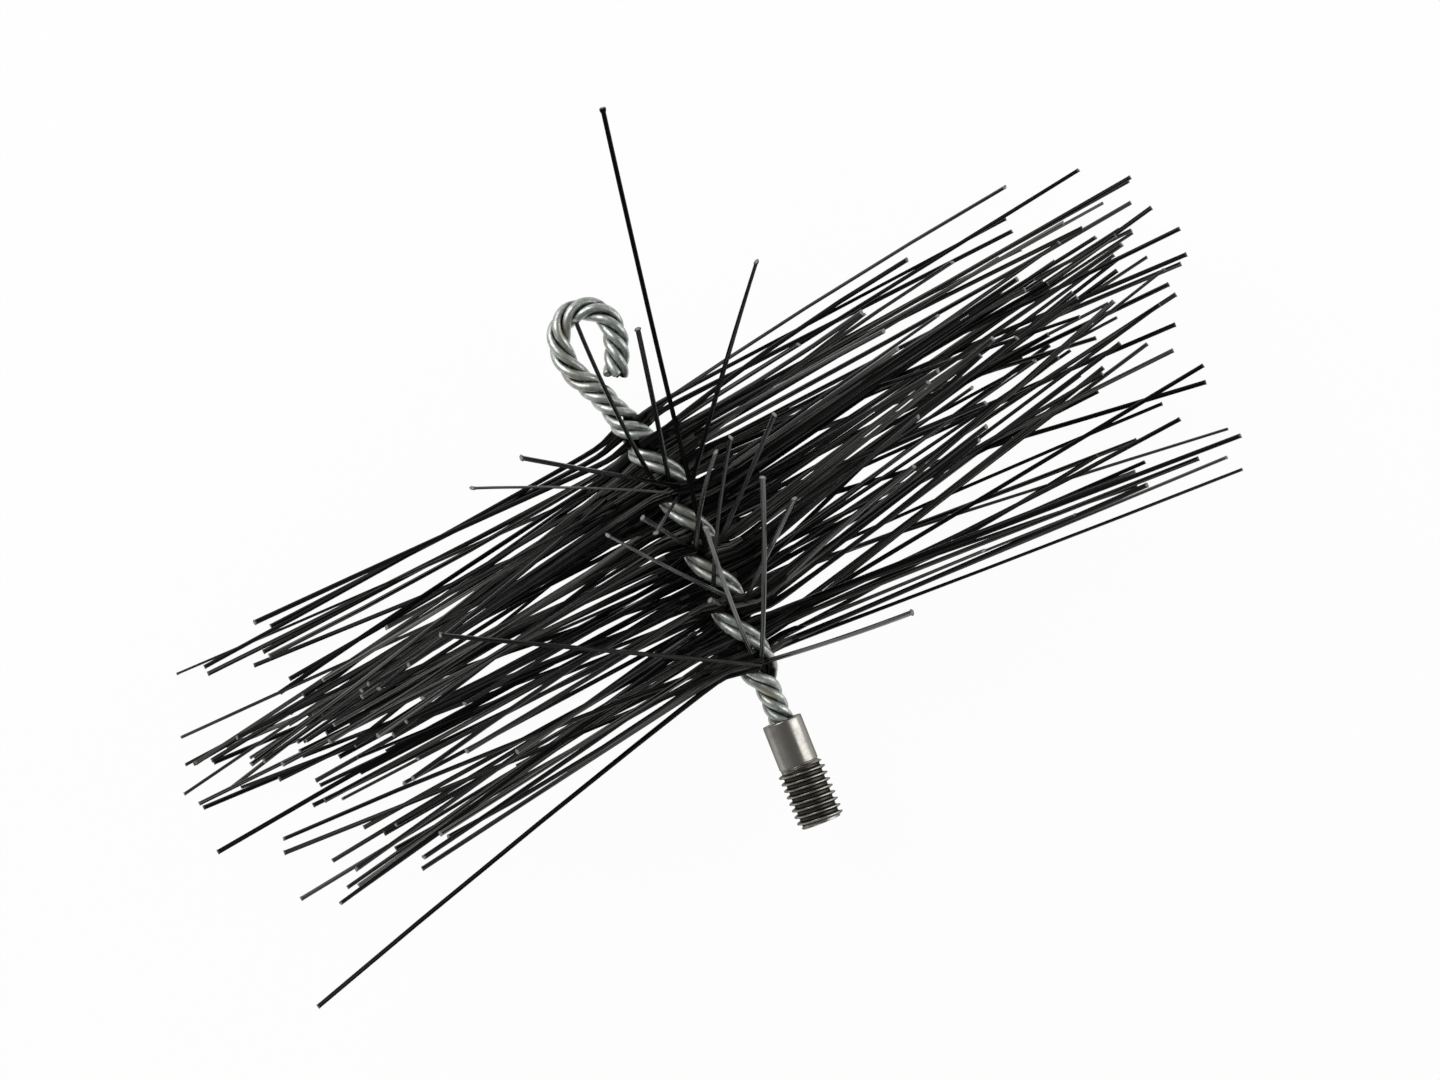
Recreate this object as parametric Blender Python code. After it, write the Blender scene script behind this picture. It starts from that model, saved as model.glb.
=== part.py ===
# Chimney sweep brush lying on the floor. Two pairs of galvanised wires are twisted
# left-hand into a stem. Flat plastic bristles pass between the pairs in bundles, the
# upper end of the stem is bent into an eye, and the lower end sits in a threaded
# ferrule that screws into a sweep's rod.
# Lengths are metres and angles are degrees. The origin is the centre of the ferrule's
# end face, +Y runs up the stem towards the eye and +Z points away from the floor.

import math

import bmesh
import bpy
import numpy as np

# Gap between pieces that touch on the real brush
CLEARANCE = 0.0003

# Ferrule, turned from steel bar, with a drilled socket for the wires
THREAD_DIAMETER = 0.0120
THREAD_LENGTH = 0.0140
THREAD_CHAMFER = 0.0009
NECK_DIAMETER = 0.0098
NECK_LENGTH = 0.0016
SLEEVE_DIAMETER = 0.0102
SLEEVE_LENGTH = 0.0118
SLEEVE_CHAMFER = 0.0004
SOCKET_DEPTH = 0.0104
SOCKET_POINT = 118.0
FERRULE_SIDES = 28

# Wires, and how far each stands off the middle of the stem, twisted up and parted
WIRE_DIAMETER = 0.0021
ROPE_OFFSET = 0.00146
PARTED_OFFSET = 0.0035
WIRE_STEPS_PER_TURN = 12

# Length of stem that one full turn of the twist takes
LOWER_LAY = 0.0155
UPPER_LAY = 0.0168
EYE_LAY = 0.0230
LAY_CHANGE = 0.006

# Line of the stem beyond the ferrule, as bends to the left of +Y
LOWER_BEND_LENGTH = 0.0132
LOWER_BEND_TURN = 3.8
GRIP_RUN_LENGTH = 0.0469
UPPER_BEND_LENGTH = 0.0196
UPPER_BEND_TURN = 14.9
ROPE_RUN_LENGTH = 0.0103
EYE_LEAD_LENGTH = 0.0090
EYE_LEAD_TURN = 14.4
EYE_SIDE_LENGTH = 0.0124
EYE_SIDE_TURN = 47.3
EYE_CROWN_LENGTH = 0.0073
EYE_CROWN_TURN = 60.7
EYE_RETURN_LENGTH = 0.0130
EYE_RETURN_TURN = 106.8
LEG_BEND_LENGTH = 0.0073
LEG_BEND_TURN = 23.3
LEG_LENGTH = 0.0048

# Bundles of bristles along the stem
TUFT_COUNT = 4
FIRST_TUFT_OFFSET = 0.0248
TUFT_PITCH = 0.0156
TUFT_LENGTH = 0.0080
PARTING_LENGTH = 0.0055
FAN_RADIUS = 0.0090
FAN_LENGTH_SHARE = 1.2
FAN_THICKNESS_SHARE = 1.5
GRIP_STEPS = 4
TUFT_COLUMNS = 8
TUFT_ROWS = 3
TOP_TUFT_COLUMNS = 3
TOP_TUFT_ROWS = 1
TOP_TUFT_LENGTH = 0.0042
TOP_TUFT_OPENING = 0.0022

# Bristles, flat strips of one cut length, and their height above the floor
BRISTLE_REACH = 0.144
BRISTLE_WIDTH = 0.0012
BRISTLE_THICKNESS = 0.0007
STEM_HEIGHT = 0.024
FLOOR_CUT = 0.0005
ROOT_SHARE = 0.72
REACH_SPREAD_SHARE = 0.3
RISE_SHARE = 1.4
WANDER_ANGLE = 3.0
ROW_RISE_ANGLE = 1.5
FULL_SINK_ANGLE = 45.0
FLOOR_ROWS = 2
LEAST_BRISTLE_GAP = 0.0002
TRIES = 240
ROUNDS = 24

# Slopes of each bundle's bristles from the X axis towards the eye, right side and then
# left side
FAN_SLOPES = (
    ((-4.0, 21.0), (-13.0, 4.0)),
    ((-6.0, 18.0), (-11.0, 5.0)),
    ((-6.0, 14.5), (-15.0, 3.0)),
    ((-6.0, 9.5), (-17.0, -3.0)),
    ((5.5, 10.0), (-8.0, -2.5)),
)

# Slopes of the bristles that leave their bundle's fan: bundle, side, column, row and slope
OUTLIER_SLOPES = (
    (1, 1, 7, 0, -8.5),
    (1, 1, 6, 0, -5.4),
    (1, -1, 7, 2, -15.4),
    (1, -1, 6, 1, -17.5),
    (1, -1, 5, 1, -22.4),
    (4, 1, 5, 2, 12.0),
    (4, 1, 6, 2, 14.7),
)
OUTLIER_SLOPE_SPREAD = 0.8

# Single bristles that stand clear of the bundles
STRAY_LENGTH = 0.122
STRAY_TAIL = 0.010
STRAY_SLOT_PITCH = 0.0018
STRAY_SEAT_GAP = 0.0005

# Each stray's gap between bundles, slot along that gap, side of the gap,
# bearing from +X seen from above, and reach as a share of its length
STRAY_SHARES = (
    (0, -1.2, -1, 2.2, 0.306),
    (0, -0.2, -1, 66.9, 0.361),
    (0, 0.8, -1, 87.8, 0.270),
    (0, -1.2, 1, 150.9, 0.609),
    (1, -1.2, -1, 40.4, 0.248),
    (1, 0.8, 1, 66.2, 0.306),
    (1, -0.2, 1, 129.9, 0.038),
    (1, -0.2, -1, 126.6, 0.262),
    (2, -1.2, -1, 40.9, 0.292),
    (2, -0.2, 1, 57.9, 0.179),
    (2, -1.2, 1, 81.0, 0.895),
    (2, 0.8, 1, 135.1, 0.105),
    (3, -1.2, 1, -133.1, 0.081),
    (3, -1.2, -1, 48.3, 0.459),
    (3, 0.8, -1, 78.5, 0.281),
    (3, -0.2, 1, 159.1, 0.365),
    (3, 0.8, 1, 97.9, 0.336),
    (3, -0.2, -1, 147.8, 0.277),
)

# Colours, roughness and metallic value of the finishes
GALVANISED = ((0.42, 0.44, 0.42), 0.38, 1.0)
TURNED_STEEL = ((0.33, 0.32, 0.30), 0.30, 1.0)
BLACK_PLASTIC = ((0.016, 0.017, 0.015), 0.42, 0.0)

SEED = 9
FINE_STEP = 0.0001
NEARLY_PARALLEL_SHARE = 1e-9


def clear_scene():
    for thing in list(bpy.data.objects):
        bpy.data.objects.remove(thing, do_unlink=True)


def finish_material(name, finish):
    colour, roughness, metallic = finish
    material = bpy.data.materials.new(name)
    material.use_nodes = True
    shader = material.node_tree.nodes["Principled BSDF"]
    shader.inputs["Base Color"].default_value = (*colour, 1.0)
    shader.inputs["Roughness"].default_value = roughness
    shader.inputs["Metallic"].default_value = metallic
    return material


def smooth_between(where, knots, values):
    # Values held outside the knots, with an S-shaped change between each two knots
    share = np.interp(where, knots, np.arange(len(knots)))
    lower = np.clip(np.floor(share).astype(int), 0, len(knots) - 2)
    part = share - lower
    part = part * part * (3.0 - 2.0 * part)
    values = np.asarray(values)
    return values[lower] * (1.0 - part) + values[lower + 1] * part


class Stem:
    # The stem's line, its twist and how far the wire pairs are parted, by the
    # distance along the line from where the wires start in the socket

    def __init__(self):
        self.rim = SOCKET_DEPTH - CLEARANCE
        runs = (
            (self.rim, 0.0),
            (LOWER_BEND_LENGTH, LOWER_BEND_TURN),
            (GRIP_RUN_LENGTH, 0.0),
            (UPPER_BEND_LENGTH, UPPER_BEND_TURN),
            (ROPE_RUN_LENGTH, 0.0),
            (EYE_LEAD_LENGTH, EYE_LEAD_TURN),
            (EYE_SIDE_LENGTH, -EYE_SIDE_TURN),
            (EYE_CROWN_LENGTH, -EYE_CROWN_TURN),
            (EYE_RETURN_LENGTH, -EYE_RETURN_TURN),
            (LEG_BEND_LENGTH, -LEG_BEND_TURN),
            (LEG_LENGTH, 0.0),
        )
        ends = np.concatenate([[0.0], np.cumsum([length for length, turn in runs])])
        headings = np.concatenate([[0.0], np.cumsum([turn for length, turn in runs])])
        self.length = ends[-1]
        self.along = np.linspace(0.0, self.length, round(self.length / FINE_STEP))
        step = self.along[1] - self.along[0]
        self.heading = np.radians(np.interp(self.along, ends, headings))
        ferrule_length = THREAD_LENGTH + NECK_LENGTH + SLEEVE_LENGTH
        self.x = -np.cumsum(np.sin(self.heading)) * step
        self.y = np.cumsum(np.cos(self.heading)) * step + ferrule_length - self.rim
        eye_start = ends[6]
        eye_end = ends[9]
        self.tufts = [
            self.rim + FIRST_TUFT_OFFSET + TUFT_PITCH * place for place in range(TUFT_COUNT)
        ]
        self.lay_out_twist(eye_start, eye_end)
        self.lay_out_parting()

    def lay_out_twist(self, eye_start, eye_end):
        half = TUFT_PITCH / 2.0
        ease = LAY_CHANGE / 2.0
        # The pairs lie fully parted from the lowest single bristle on
        self.open_start = self.tufts[0] - half - 2.0 * STRAY_SLOT_PITCH
        self.open_end = self.tufts[-1] + half / 2.0
        changes = (self.open_start - ease, self.open_end, eye_start, eye_end)
        knots = np.ravel([(change - ease, change + ease) for change in changes])
        lays = (LOWER_LAY, 2.0 * TUFT_PITCH, UPPER_LAY, EYE_LAY, UPPER_LAY)
        rates = np.repeat([1.0 / lay for lay in lays], 2)[1:-1]
        rate = smooth_between(self.along, knots, rates)
        step = self.along[1] - self.along[0]
        self.rate = rate
        turns = np.cumsum(rate) * step
        first = np.interp(self.tufts[0], self.along, turns)
        self.turns = turns - first + 0.25
        # The top bundle is gripped where the pairs next lie one over the other
        top_turns = 0.25 + TUFT_COUNT / 2.0
        self.tufts.append(float(np.interp(top_turns, self.turns, self.along)))

    def lay_out_parting(self):
        knots = (
            self.open_start - PARTING_LENGTH,
            self.open_start,
            self.open_end,
            self.tufts[-1] - TOP_TUFT_LENGTH / 2.0,
            self.tufts[-1] + TOP_TUFT_LENGTH / 2.0,
            self.tufts[-1] + TOP_TUFT_LENGTH / 2.0 + PARTING_LENGTH,
        )
        offsets = (
            ROPE_OFFSET, PARTED_OFFSET, PARTED_OFFSET,
            TOP_TUFT_OPENING, TOP_TUFT_OPENING, ROPE_OFFSET,
        )
        self.offset = smooth_between(self.along, knots, offsets)
        # The two wires of a pair lie side by side, further apart where they slant more
        slant = 2.0 * math.pi * self.offset * self.rate
        beside = (WIRE_DIAMETER + CLEARANCE) / 2.0 * np.sqrt(1.0 + slant * slant)
        self.spacing = np.maximum(beside, ROPE_OFFSET)

    def read(self, values, where):
        return np.interp(where, self.along, values)

    def centre(self, where):
        x = self.read(self.x, where)
        y = self.read(self.y, where)
        return np.stack([x, y, np.zeros_like(x)], axis=-1)

    def across(self, where):
        # Unit direction to the right of the stem, in the plane of the floor
        heading = self.read(self.heading, where)
        return np.stack([np.cos(heading), np.sin(heading), np.zeros_like(heading)], axis=-1)

    def turned(self, where, angle):
        # Unit direction square to the stem, turned from the right towards +Z
        angle = np.asarray(angle)[..., None]
        up = np.array([0.0, 0.0, 1.0])
        return np.cos(angle) * self.across(where) + np.sin(angle) * up

    def pair_angle(self, where):
        return 2.0 * math.pi * self.read(self.turns, where)

    def wire_line(self, pair, side, where):
        angle = self.pair_angle(where)
        towards_pair = self.turned(where, angle)
        beside = self.turned(where, angle + math.pi / 2.0)
        offset = self.read(self.offset, where)[..., None]
        spacing = self.read(self.spacing, where)[..., None]
        return self.centre(where) + pair * offset * towards_pair + side * spacing * beside

    def grip_radius(self, where):
        # Radius that clears both wire pairs
        reach = np.hypot(self.read(self.offset, where), self.read(self.spacing, where))
        return reach + WIRE_DIAMETER / 2.0 + CLEARANCE

    def grip_thickness(self, where):
        # Half the thickness of bristles that fits between the wire pairs. A wire cut
        # square to the stem is a little wider than its diameter, because it slants.
        lean = 2.0 * math.pi * self.read(self.spacing * self.rate, where)
        slanted_radius = WIRE_DIAMETER / 2.0 * np.sqrt(1.0 + lean * lean)
        return self.read(self.offset, where) - slanted_radius - CLEARANCE


def mesh_object(name, points, faces, material):
    mesh = bpy.data.meshes.new(name)
    mesh.from_pydata([tuple(point) for point in points], [], faces)
    mesh.materials.append(material)
    shape = bmesh.new()
    shape.from_mesh(mesh)
    bmesh.ops.recalc_face_normals(shape, faces=shape.faces)
    shape.to_mesh(mesh)
    shape.free()
    thing = bpy.data.objects.new(name, mesh)
    bpy.context.collection.objects.link(thing)


def build_ferrule(material):
    thread_radius = THREAD_DIAMETER / 2.0
    neck_radius = NECK_DIAMETER / 2.0
    sleeve_radius = SLEEVE_DIAMETER / 2.0
    wire_reach = math.hypot(ROPE_OFFSET, ROPE_OFFSET) + WIRE_DIAMETER / 2.0
    socket_radius = wire_reach + CLEARANCE
    neck_start = THREAD_LENGTH
    sleeve_start = THREAD_LENGTH + NECK_LENGTH
    rim = sleeve_start + SLEEVE_LENGTH
    socket_floor = rim - SOCKET_DEPTH
    point_depth = socket_radius / math.tan(math.radians(SOCKET_POINT / 2.0))
    # Half section as radius and height, from the end face round to the socket's point
    profile = (
        (0.0, 0.0),
        (thread_radius - THREAD_CHAMFER, 0.0),
        (thread_radius, THREAD_CHAMFER),
        (thread_radius, neck_start - THREAD_CHAMFER),
        (neck_radius, neck_start),
        (neck_radius, sleeve_start - SLEEVE_CHAMFER),
        (sleeve_radius, sleeve_start),
        (sleeve_radius, rim - SLEEVE_CHAMFER),
        (sleeve_radius - SLEEVE_CHAMFER, rim),
        (socket_radius + SLEEVE_CHAMFER, rim),
        (socket_radius, rim - SLEEVE_CHAMFER),
        (socket_radius, socket_floor),
        (0.0, socket_floor - point_depth),
    )
    shape = bmesh.new()
    corners = [shape.verts.new((radius, height, 0.0)) for radius, height in profile]
    edges = [shape.edges.new(pair) for pair in zip(corners, corners[1:])]
    bmesh.ops.spin(
        shape, geom=corners + edges, cent=(0.0, 0.0, 0.0), axis=(0.0, 1.0, 0.0),
        angle=2.0 * math.pi, steps=FERRULE_SIDES, use_merge=True,
    )
    bmesh.ops.remove_doubles(shape, verts=shape.verts, dist=FINE_STEP / 10.0)
    bmesh.ops.recalc_face_normals(shape, faces=shape.faces)
    mesh = bpy.data.meshes.new("threaded_ferrule")
    shape.to_mesh(mesh)
    shape.free()
    mesh.materials.append(material)
    mesh.shade_smooth()
    mesh.set_sharp_from_angle(angle=math.radians(30.0))
    thing = bpy.data.objects.new("threaded_ferrule", mesh)
    bpy.context.collection.objects.link(thing)


def wire_stations(stem):
    # Places along the stem at equal steps of the twist
    count = int(math.ceil((stem.turns[-1] - stem.turns[0]) * WIRE_STEPS_PER_TURN))
    turns = np.linspace(stem.turns[0], stem.turns[-1], count + 1)
    return np.interp(turns, stem.turns, stem.along)


def build_wire(number, pair, side, stem, material):
    name = f"stem_wire_{number}"
    line = stem.wire_line(pair, side, wire_stations(stem))
    curve = bpy.data.curves.new(name, "CURVE")
    curve.dimensions = "3D"
    curve.bevel_depth = WIRE_DIAMETER / 2.0
    curve.bevel_resolution = 2
    curve.use_fill_caps = True
    curve.materials.append(material)
    spline = curve.splines.new("POLY")
    spline.points.add(len(line) - 1)
    for point, place in zip(spline.points, line):
        point.co = (*place, 1.0)
    thing = bpy.data.objects.new(name, curve)
    bpy.context.collection.objects.link(thing)


def unit(vector):
    return vector / np.linalg.norm(vector, axis=-1, keepdims=True)


def strip_section(direction, width_direction):
    # Corners of a flat strip's section round its middle
    beside = unit(width_direction - direction * np.dot(width_direction, direction))
    above = np.cross(direction, beside)
    half_width = beside * BRISTLE_WIDTH / 2.0
    half_thickness = above * BRISTLE_THICKNESS / 2.0
    return np.array([
        -half_width - half_thickness, half_width - half_thickness,
        half_width + half_thickness, -half_width + half_thickness,
    ])


def half_extent(direction, width_direction, normal):
    # How far a strip reaches from its middle along the normal
    along = np.sum(width_direction * direction, axis=-1, keepdims=True)
    beside = unit(width_direction - direction * along)
    above = np.cross(direction, beside)
    wide = np.abs(np.sum(beside * normal, axis=-1)) * BRISTLE_WIDTH
    thick = np.abs(np.sum(above * normal, axis=-1)) * BRISTLE_THICKNESS
    return (wide + thick) / 2.0


class Thicket:
    # Every bristle as a straight line, to keep each one clear of all the others

    def __init__(self, count):
        self.starts = np.zeros((count, 3))
        self.ends = np.ones((count, 3))
        self.widths = np.ones((count, 3))
        self.placed = np.zeros(count, dtype=bool)
        self.gaps = np.full(count, math.inf)

    def gaps_of(self, number, starts, ends, width_direction):
        # Least gap of each of these lines to every placed bristle but this one
        others = self.placed.copy()
        others[number] = False
        if not others.any():
            return np.full(len(starts), math.inf)
        first = (ends - starts)[:, None, :]
        second = (self.ends - self.starts)[others][None, :, :]
        apart = starts[:, None, :] - self.starts[others][None, :, :]
        a = np.sum(first * first, axis=2)
        b = np.sum(second * first, axis=2)
        c = np.sum(second * second, axis=2)
        d = np.sum(apart * first, axis=2)
        e = np.sum(second * apart, axis=2)
        skew = np.maximum(a * c - b * b, a * a * NEARLY_PARALLEL_SHARE)
        along_first = np.clip((b * e - c * d) / skew, 0.0, 1.0)
        along_second = np.clip((b * along_first + e) / c, 0.0, 1.0)
        along_first = np.clip((b * along_second - d) / a, 0.0, 1.0)
        between = apart + along_first[..., None] * first - along_second[..., None] * second
        distance = np.linalg.norm(between, axis=2)
        normal = between / np.maximum(distance, FINE_STEP)[..., None]
        # A bristle is narrower where it leaves its bundle, by the share at its root
        own = half_extent(unit(first), width_direction, normal)
        own = own * (ROOT_SHARE + (1.0 - ROOT_SHARE) * along_first)
        theirs = half_extent(unit(second), self.widths[others], normal)
        theirs = theirs * (ROOT_SHARE + (1.0 - ROOT_SHARE) * along_second)
        return np.min(distance - own - theirs, axis=1)

    def place(self, number, start, end, width_direction):
        self.starts[number] = start
        self.ends[number] = end
        self.widths[number] = width_direction
        self.placed[number] = True

    def measure(self, number):
        here = slice(number, number + 1)
        self.gaps[number] = self.gaps_of(
            number, self.starts[here], self.ends[here], self.widths[number],
        )[0]
        return self.gaps[number]


class Bristle:
    # One bristle of a bundle: where it leaves the bundle, and where it may point

    def __init__(self, corners, outward, across, slopes, row_share, level, on_floor):
        self.root = np.mean(corners, axis=0)
        self.along = unit(corners[1] - corners[0])
        self.facing = unit(np.cross(corners[1] - corners[0], corners[3] - corners[0]))
        self.outward = outward
        self.across = across
        self.slopes = slopes
        self.row_share = row_share
        self.level = level
        self.on_floor = on_floor
        self.tip = self.root

    def draw_tips(self, random):
        # Tips to try. The later ones may be shorter and wander further.
        up = np.array([0.0, 0.0, 1.0])
        forward = np.array([0.0, 1.0, 0.0])
        freedom = np.linspace(1.0, 2.0, TRIES)
        slope = np.radians(random.uniform(*self.slopes, TRIES))[:, None]
        level = np.cos(slope) * self.across + np.sin(slope) * forward
        reach = 1.0 - REACH_SPREAD_SHARE * freedom * random.random(TRIES)
        reach = BRISTLE_REACH * reach - FAN_RADIUS
        wander = np.radians(WANDER_ANGLE * freedom * random.uniform(-1.0, 1.0, TRIES))
        wander += math.radians(ROW_RISE_ANGLE) * self.row_share
        natural = math.asin(np.clip(self.outward[2], -1.0, 1.0))
        rest = BRISTLE_THICKNESS / 2.0 - STEM_HEIGHT
        if natural > 0.0:
            rise = natural * RISE_SHARE + wander
        else:
            # The floor holds up the bristles that would point down
            lowest = np.arcsin((self.root[2] - rest) / reach)
            sink = min(-natural / math.radians(FULL_SINK_ANGLE), 1.0)
            rise = np.maximum(wander - lowest * sink, -lowest)
        rise = rise[:, None]
        tips = self.root + reach[:, None] * (np.cos(rise) * level + np.sin(rise) * up)
        if self.on_floor:
            tips[:, 2] = rest - FLOOR_CUT
        else:
            tips[:, 2] = np.maximum(tips[:, 2], rest + CLEARANCE)
        return tips


def settle_bristles(bristles, thicket, first, random):
    # Draw each bristle's tip again until it is clear of the rest, lowest ones first
    order = sorted(range(len(bristles)), key=lambda place: bristles[place].level)
    for settling in range(ROUNDS):
        for place in order:
            bristle = bristles[place]
            number = first + place
            if settling and thicket.measure(number) > LEAST_BRISTLE_GAP:
                continue
            tips = bristle.draw_tips(random)
            starts = bristle.root + unit(tips - bristle.root) * BRISTLE_WIDTH
            gaps = thicket.gaps_of(number, starts, tips, bristle.along)
            chosen = int(np.argmax(np.minimum(gaps, LEAST_BRISTLE_GAP)))
            bristle.tip = tips[chosen]
            thicket.place(number, starts[chosen], tips[chosen], bristle.along)
    for number in range(len(thicket.gaps)):
        thicket.measure(number)


class Tuft:
    # One bundle: a grip between the wire pairs and a fan of bristles on both sides

    def __init__(self, number, stem, columns, rows, length):
        self.name = f"bristle_tuft_{number}"
        self.columns = columns
        self.rows = rows
        self.points = []
        self.faces = []
        self.cells = []
        self.bristles = []
        middle = stem.tufts[number - 1]
        stands = number <= TUFT_COUNT
        loops = [
            self.add_side(stem, middle, length, side, slopes, stands)
            for side, slopes in zip((1, -1), FAN_SLOPES[number - 1])
        ]
        for bundle, *place, slope in OUTLIER_SLOPES:
            if bundle == number:
                self.set_slope(*place, slope)
        (right_grip, right_fan), (left_grip, left_fan) = loops
        self.bridge(left_fan, left_grip)
        self.fill_grip(left_grip, right_grip)
        self.bridge(right_grip, right_fan)

    def add_side(self, stem, middle, length, side, slopes, stands):
        grip, fan, outward = self.lay_out_side(stem, middle, length, side)
        loop = self.outline()
        grip_loop = list(range(len(self.points), len(self.points) + len(loop)))
        self.points.extend(grip[corner] for corner in loop)
        first = len(self.points)
        self.points.extend(fan.reshape(-1, 3))
        stride = self.rows + 1
        fan_loop = [first + column * stride + row for column, row in loop]
        across = np.array([side, 0.0, 0.0])
        for column in range(self.columns):
            # Columns counted from the one that the twist turns furthest down
            level = column if side == 1 else self.columns - 1 - column
            for row in range(self.rows):
                corner = first + column * stride + row
                cell = [corner, corner + stride, corner + stride + 1, corner + 1]
                if side == -1:
                    cell.reverse()
                corners = np.array([self.points[place] for place in cell])
                heading = unit(outward[column] + outward[column + 1])
                row_share = row - (self.rows - 1) / 2.0
                on_floor = stands and level == 0 and row < FLOOR_ROWS
                self.cells.append(cell)
                self.bristles.append(
                    Bristle(corners, heading, across, slopes, row_share, level, on_floor)
                )
        return grip_loop, fan_loop

    def set_slope(self, side, column, row, slope):
        place = column * self.rows + row
        if side == -1:
            place += self.columns * self.rows
        slopes = (slope - OUTLIER_SLOPE_SPREAD, slope + OUTLIER_SLOPE_SPREAD)
        self.bristles[place].slopes = slopes

    def lay_out_side(self, stem, middle, length, side):
        # Corners where the bundle leaves the wires and where it starts to fan out.
        # The bundle twists with the wires.
        shares = np.linspace(-1.0, 1.0, self.columns + 1)
        lifts = np.linspace(-1.0, 1.0, self.rows + 1)
        where = middle + shares * length / 2.0
        angle = stem.pair_angle(where) - stem.pair_angle(middle)
        outward = side * stem.turned(where, angle)
        lift = stem.turned(where, angle + math.pi / 2.0)
        thickness = stem.grip_thickness(where)[:, None, None] * lifts[None, :, None]
        grip = stem.centre(where) + stem.grip_radius(where)[:, None] * outward
        grip = grip[:, None, :] + thickness * lift[:, None, :]
        spread = middle + shares * length / 2.0 * FAN_LENGTH_SHARE
        fan = stem.centre(spread) + FAN_RADIUS * outward
        fan = fan[:, None, :] + FAN_THICKNESS_SHARE * thickness * lift[:, None, :]
        return grip, fan, outward

    def outline(self):
        # The grid's outer corners, in order round it
        bottom = [(column, 0) for column in range(self.columns)]
        right = [(self.columns, row) for row in range(self.rows)]
        top = [(column, self.rows) for column in range(self.columns, 0, -1)]
        left = [(0, row) for row in range(self.rows, 0, -1)]
        return bottom + right + top + left

    def bridge(self, near, far):
        for corner in range(len(near)):
            after = (corner + 1) % len(near)
            self.faces.append((near[corner], near[after], far[after], far[corner]))

    def fill_grip(self, left_grip, right_grip):
        # Loops across the grip, close enough to follow its twist clear of the wires
        lefts = np.array([self.points[place] for place in left_grip])
        rights = np.array([self.points[place] for place in right_grip])
        near = left_grip
        for step in range(1, GRIP_STEPS):
            far = list(range(len(self.points), len(self.points) + len(near)))
            self.points.extend(lefts + (rights - lefts) * step / GRIP_STEPS)
            self.bridge(near, far)
            near = far
        self.bridge(near, right_grip)

    def grow(self, cell, bristle):
        # Inset one cell of the fan face and draw it out into a flat strip. A strip
        # that the brush stands on is cut flat at the floor.
        inner = list(range(len(self.points), len(self.points) + len(cell)))
        self.points.extend(
            bristle.root + ROOT_SHARE * strip_section(bristle.facing, bristle.along)
        )
        self.bridge(cell, inner)
        direction = unit(bristle.tip - bristle.root)
        section = strip_section(direction, bristle.along)
        stations = [bristle.tip]
        if bristle.on_floor:
            stations.insert(0, bristle.tip + direction * FLOOR_CUT / direction[2])
        for station in stations:
            ring = list(range(len(self.points), len(self.points) + len(cell)))
            for corner in section:
                place = station + corner
                place[2] = max(place[2], -STEM_HEIGHT)
                self.points.append(place)
            self.bridge(inner, ring)
            inner = ring
        self.faces.append(tuple(inner))

    def build(self, material):
        for cell, bristle in zip(self.cells, self.bristles):
            self.grow(cell, bristle)
        mesh_object(self.name, self.points, self.faces, material)


def stray_line(stem, gap_number, slot, seat, bearing, reach_share):
    # Tail below the stem, way out above it and tip of one single bristle, and the
    # direction of its width
    middle = stem.tufts[gap_number] - TUFT_PITCH / 2.0
    where = middle + slot * STRAY_SLOT_PITCH
    angle = stem.pair_angle(where) - stem.pair_angle(middle) + math.pi / 2.0
    upward = stem.turned(where, angle)
    towards_pair = stem.turned(where, angle + math.pi / 2.0)
    shift = stem.read(stem.offset, where) - WIRE_DIAMETER / 2.0
    shift -= STRAY_SEAT_GAP + BRISTLE_THICKNESS / 2.0
    seat_point = stem.centre(where) + seat * shift * towards_pair
    way_out = seat_point + upward * (stem.grip_radius(where) + CLEARANCE)
    tail = seat_point - upward * STRAY_TAIL
    reach = STRAY_LENGTH * reach_share
    rise = math.sqrt(STRAY_LENGTH ** 2 - reach ** 2)
    bearing = math.radians(bearing)
    level = reach * np.array([math.cos(bearing), math.sin(bearing)])
    tip = stem.centre(where) + np.array([*level, rise])
    width_direction = np.cross(np.array([0.0, 0.0, 1.0]), stem.across(where))
    return tail, way_out, tip, width_direction


def build_stray(number, tail, way_out, tip, width_direction, material):
    points = []
    faces = []
    line = (tail, way_out, tip)
    directions = (way_out - tail, tip - tail, tip - way_out)
    rings = []
    for place, direction in zip(line, directions):
        section = strip_section(unit(direction), width_direction)
        rings.append([len(points) + corner for corner in range(4)])
        points.extend(place + corner for corner in section)
    for near, far in zip(rings, rings[1:]):
        for corner in range(4):
            after = (corner + 1) % 4
            faces.append((near[corner], near[after], far[after], far[corner]))
    faces.append(tuple(reversed(rings[0])))
    faces.append(tuple(rings[-1]))
    mesh_object(f"stray_bristle_{number:02d}", points, faces, material)


def report_wire_gaps(stem):
    # Least gaps of the wires to each other, measured on their middle lines
    where = np.linspace(0.0, stem.length, 700)
    lines = [stem.wire_line(pair, side, where) for pair in (1, -1) for side in (1, -1)]
    least = math.inf
    for first in range(4):
        for second in range(first + 1, 4):
            apart = lines[first][:, None, :] - lines[second][None, :, :]
            least = min(least, float(np.min(np.linalg.norm(apart, axis=2))))
    print(f"least gap between wires {(least - WIRE_DIAMETER) * 1000:.2f} mm")
    line = lines[0]
    far = np.abs(where[:, None] - where[None, :]) > 3.0 * WIRE_DIAMETER
    apart = np.linalg.norm(line[:, None, :] - line[None, :, :], axis=2)
    print(f"least gap of a wire to itself {(apart[far].min() - WIRE_DIAMETER) * 1000:.2f} mm")


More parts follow.
